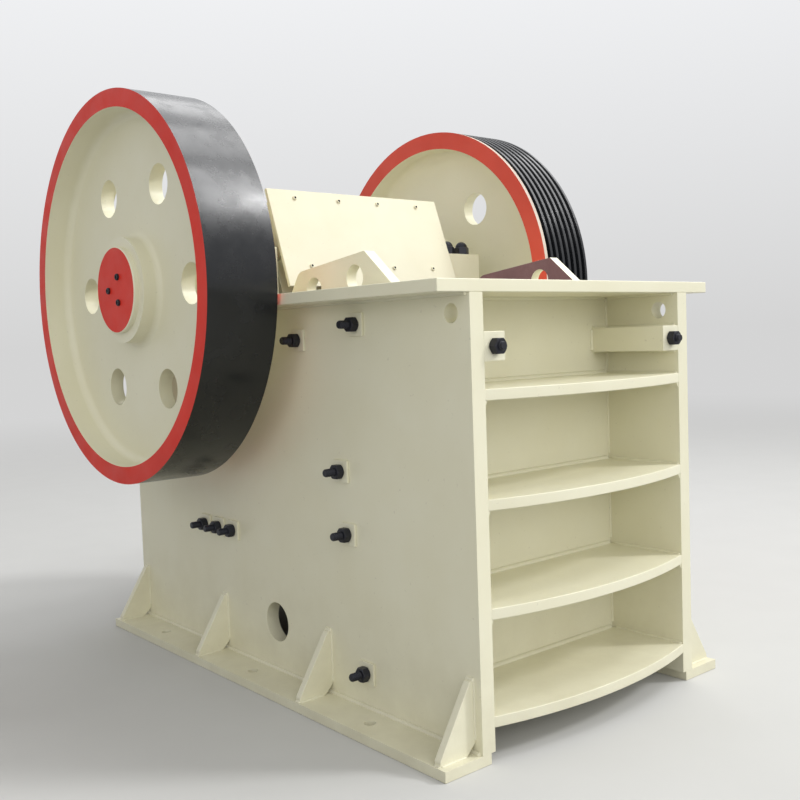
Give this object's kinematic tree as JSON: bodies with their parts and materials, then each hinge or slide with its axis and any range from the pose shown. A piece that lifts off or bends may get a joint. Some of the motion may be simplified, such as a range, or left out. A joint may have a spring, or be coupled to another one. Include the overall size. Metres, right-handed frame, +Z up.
{
  "type": "jaw crusher",
  "caption": "Single-toggle jaw crusher on a welded plate frame with a flywheel, a grooved belt wheel and a swinging toothed jaw over an open discharge",
  "frame": {"origin": "in the foundation plane under the two base flanges, under the middle of the whole machine", "axes": "X along the eccentric shaft with the flywheel at -X and the belt wheel at +X, Y from the ribbed front wall at -Y to the rear wall at +Y, Z up"},
  "size_m": [1.97, 2.44, 2.34],
  "materials": {
    "cream_paint": "cream gloss paint on welded steel plate",
    "gloss_black_paint": "gloss black paint on cast iron rims, cream webs",
    "orange_red_paint": "orange-red gloss paint",
    "red_primer": "matt red oxide primer on cast liners",
    "black_bolts": "blue-black finish on bolts and nuts",
    "cast_manganese": "raw cast manganese steel",
    "machined_steel": "turned steel with an oil film"
  },
  "bodies": {
    "frame": {"side_wall_left": "cream_paint", "side_wall_right": "cream_paint", "base_flange_left": "cream_paint", "base_flange_right": "cream_paint", "base_gussets_left": "cream_paint", "base_gussets_right": "cream_paint", "front_wall": "cream_paint", "front_rib_1": "cream_paint", "front_rib_2": "cream_paint", "front_rib_3": "cream_paint", "front_rib_4": "cream_paint", "top_flange_front": "cream_paint", "top_flange_left": "cream_paint", "top_flange_right": "cream_paint", "spacer_bars": "cream_paint", "spacer_bar_studs": "black_bolts", "upper_liner_left": "red_primer", "upper_liner_right": "red_primer", "lower_liner_left": "red_primer", "lower_liner_right": "red_primer", "liner_bolts_left": "black_bolts", "liner_bolts_right": "black_bolts", "fixed_jaw_plate": "cast_manganese", "main_bearing_left": "machined_steel", "main_bearing_right": "machined_steel", "bearing_cap_left": "cream_paint", "bearing_cap_right": "cream_paint", "bearing_studs_left": "black_bolts", "bearing_studs_right": "black_bolts", "rear_wall": "cream_paint", "rear_rib_1": "cream_paint", "rear_rib_2": "cream_paint", "rear_rib_3": "cream_paint", "rear_rib_4": "cream_paint", "toggle_guide_left": "cream_paint", "toggle_guide_right": "cream_paint", "tension_spring": "black_bolts", "tension_nuts": "black_bolts"},
    "rotor": {"eccentric_shaft": "machined_steel", "flywheel": "gloss_black_paint", "belt_wheel": "gloss_black_paint", "hub_cap_left": "orange_red_paint", "hub_cap_right": "orange_red_paint"},
    "jaw": {"swing_jaw": "cream_paint", "swing_jaw_plate": "cast_manganese", "guard_plate": "cream_paint"},
    "block": {"toggle_block": "cream_paint"},
    "toggle": {"toggle_plate": "cast_manganese"},
    "rod": {"tension_rod": "machined_steel"}
  },
  "joints": [
    {"name": "rotor_turn", "type": "hinge", "parent": "frame", "child": "rotor", "pos_m": [0, 0.44, 1.56], "axis": [1, 0, 0], "continuous": true},
    {"name": "jaw_swing", "type": "hinge", "parent": "frame", "child": "jaw", "pos_m": [0, 0.44, 1.56], "axis": [1, 0, 0], "range_deg": [-1.9, 2]},
    {"name": "block_slide", "type": "slide", "parent": "frame", "child": "block", "axis": [0, 1, 0], "range_m": [-0.034, 0.036]},
    {"name": "toggle_turn", "type": "hinge", "parent": "block", "child": "toggle", "pos_m": [0, 0.33, 0.557], "axis": [1, 0, 0], "range_deg": [-2.5, 2.6]},
    {"name": "rod_turn", "type": "hinge", "parent": "jaw", "child": "rod", "pos_m": [0, -0.004, 0.226], "axis": [1, 0, 0], "range_deg": [-1.3, 1.3]}
  ],
  "couplings": [
    {"joint": "block_slide", "follows": "jaw_swing", "m_per_rad": 0.9622},
    {"joint": "toggle_turn", "follows": "jaw_swing", "ratio": 1.2313},
    {"joint": "rod_turn", "follows": "jaw_swing", "ratio": -0.57911}
  ]
}
